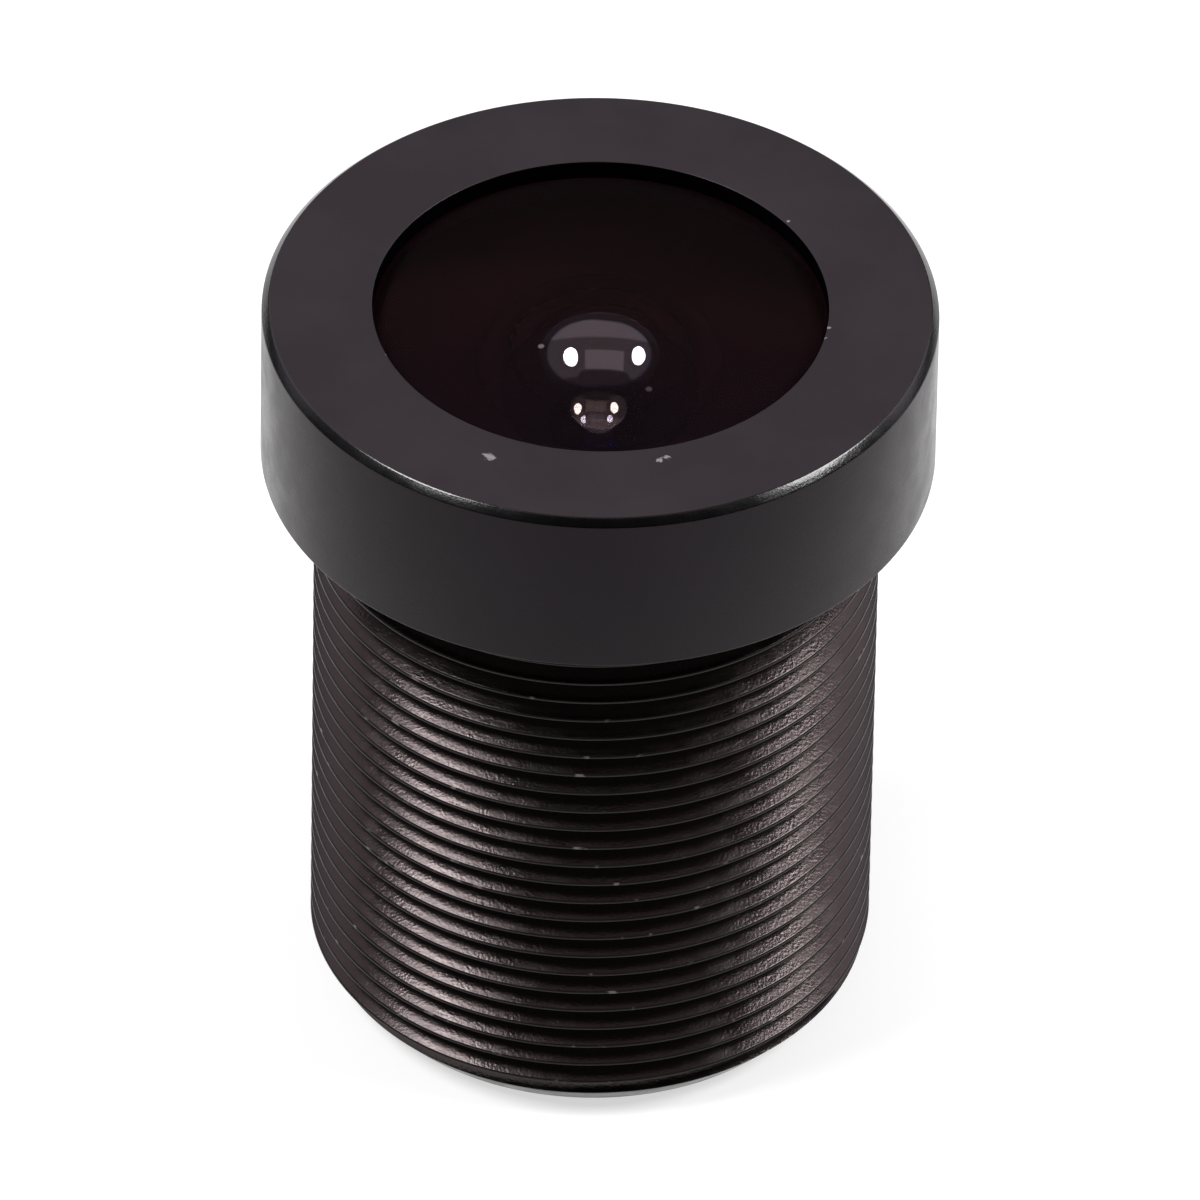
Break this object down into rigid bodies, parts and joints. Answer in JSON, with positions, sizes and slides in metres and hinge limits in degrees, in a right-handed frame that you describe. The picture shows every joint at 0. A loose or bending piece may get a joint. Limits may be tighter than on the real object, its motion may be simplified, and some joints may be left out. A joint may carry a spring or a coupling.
{
  "type": "infrared lens",
  "caption": "Threaded board-camera lens: black anodised barrel with M12 x 0.5 thread, wider screwed-on cap, hollowed front glass, inner lens stack and infrared filter.",
  "frame": {"origin": "centre of the rear end face, on the optical axis", "axes": "+Z along the optical axis towards the front glass"},
  "size_m": [0.0142, 0.0142, 0.0173],
  "materials": {
    "barrel_anodised": "glossy black anodised, slightly brown",
    "cap_anodised": "satin black anodised",
    "retainer_anodised": "matt black anodised",
    "spacer_black": "matt black anodised, finely grooved",
    "mask_film": "matt black film",
    "seal_rubber": "black rubber",
    "front_glass": "coated glass",
    "inner_glass": "coated glass",
    "crown_glass": "coated crown glass",
    "flint_glass": "coated flint glass",
    "filter_glass": "interference-coated filter glass, dark red sheen"
  },
  "bodies": {
    "root": {"barrel": "barrel_anodised", "front_cap": "cap_anodised", "front_lens": "front_glass", "front_seal": "seal_rubber", "front_mask": "mask_film", "front_spacer": "spacer_black", "second_lens": "inner_glass", "second_spacer": "spacer_black", "third_lens": "inner_glass", "aperture_stop": "mask_film", "stop_spacer": "spacer_black", "doublet_crown": "crown_glass", "doublet_flint": "flint_glass", "rear_mask": "mask_film", "rear_spacer": "spacer_black", "rear_lens": "inner_glass", "infrared_filter": "filter_glass", "filter_retainer": "retainer_anodised"}
  },
  "joints": []
}
